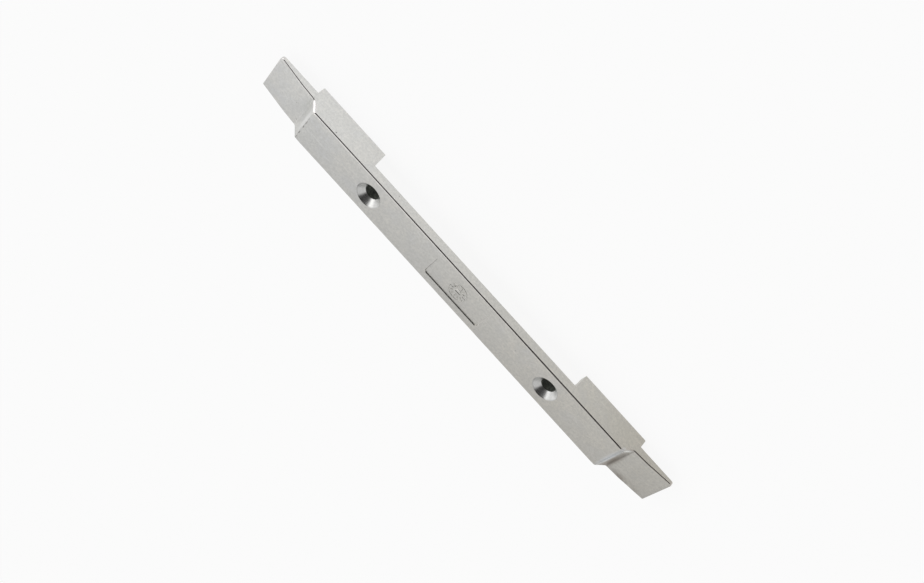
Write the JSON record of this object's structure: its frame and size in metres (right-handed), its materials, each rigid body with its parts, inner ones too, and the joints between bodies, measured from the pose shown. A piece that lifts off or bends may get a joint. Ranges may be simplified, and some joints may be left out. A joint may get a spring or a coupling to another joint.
{
  "type": "espagnolette gearbox",
  "caption": "Slim die-cast bar with two countersunk fixing holes, tongues and rear lugs, and a rack drive behind it that moves two slides apart.",
  "frame": {"origin": "middle of the bar, level with the feet of the lugs", "axes": "+X along the bar towards the lower end, +Y towards the outer long side, +Z out of the front face"},
  "size_m": [0.176, 0.016, 0.0092],
  "materials": {
    "die_cast": "satin silver-grey die-cast zinc, machined edges",
    "raw_zinc": "raw die-cast zinc",
    "zinc_plated_steel": "zinc-plated stamped steel",
    "bright_steel": "turned bright steel",
    "brass": "machined brass",
    "black_nylon": "moulded black nylon"
  },
  "bodies": {
    "casing": {"housing": "die_cast", "upper_screw_bush": "black_nylon", "lower_screw_bush": "black_nylon", "pinion_axle": "bright_steel", "axle_washer": "zinc_plated_steel", "gear_cover": "zinc_plated_steel", "cover_screws": "bright_steel", "stop_pins": "bright_steel", "stop_bushes": "brass", "upper_end_guide": "black_nylon", "lower_end_guide": "black_nylon", "brake_ball": "bright_steel", "brake_spring": "bright_steel"},
    "upper_drive": {"upper_slide": "zinc_plated_steel", "fork_block": "raw_zinc", "fork_block_rivets": "bright_steel", "upper_glide_pad": "black_nylon"},
    "lower_drive": {"lower_slide": "zinc_plated_steel", "lower_glide_pad": "black_nylon"},
    "gear": {"pinion": "brass"}
  },
  "joints": [
    {"name": "upper_slide_travel", "type": "slide", "parent": "casing", "child": "upper_drive", "axis": [-1, 0, 0], "range_m": [0, 0.015]},
    {"name": "lower_slide_travel", "type": "slide", "parent": "casing", "child": "lower_drive", "axis": [1, 0, 0], "range_m": [0, 0.015]},
    {"name": "pinion_turn", "type": "hinge", "parent": "casing", "child": "gear", "pos_m": [0, -0.0033, 0.0017], "axis": [0, 0, -1], "range_deg": [0, 430]}
  ],
  "couplings": [
    {"joint": "lower_slide_travel", "follows": "upper_slide_travel", "ratio": 1},
    {"joint": "pinion_turn", "follows": "upper_slide_travel", "rad_per_m": 500}
  ]
}
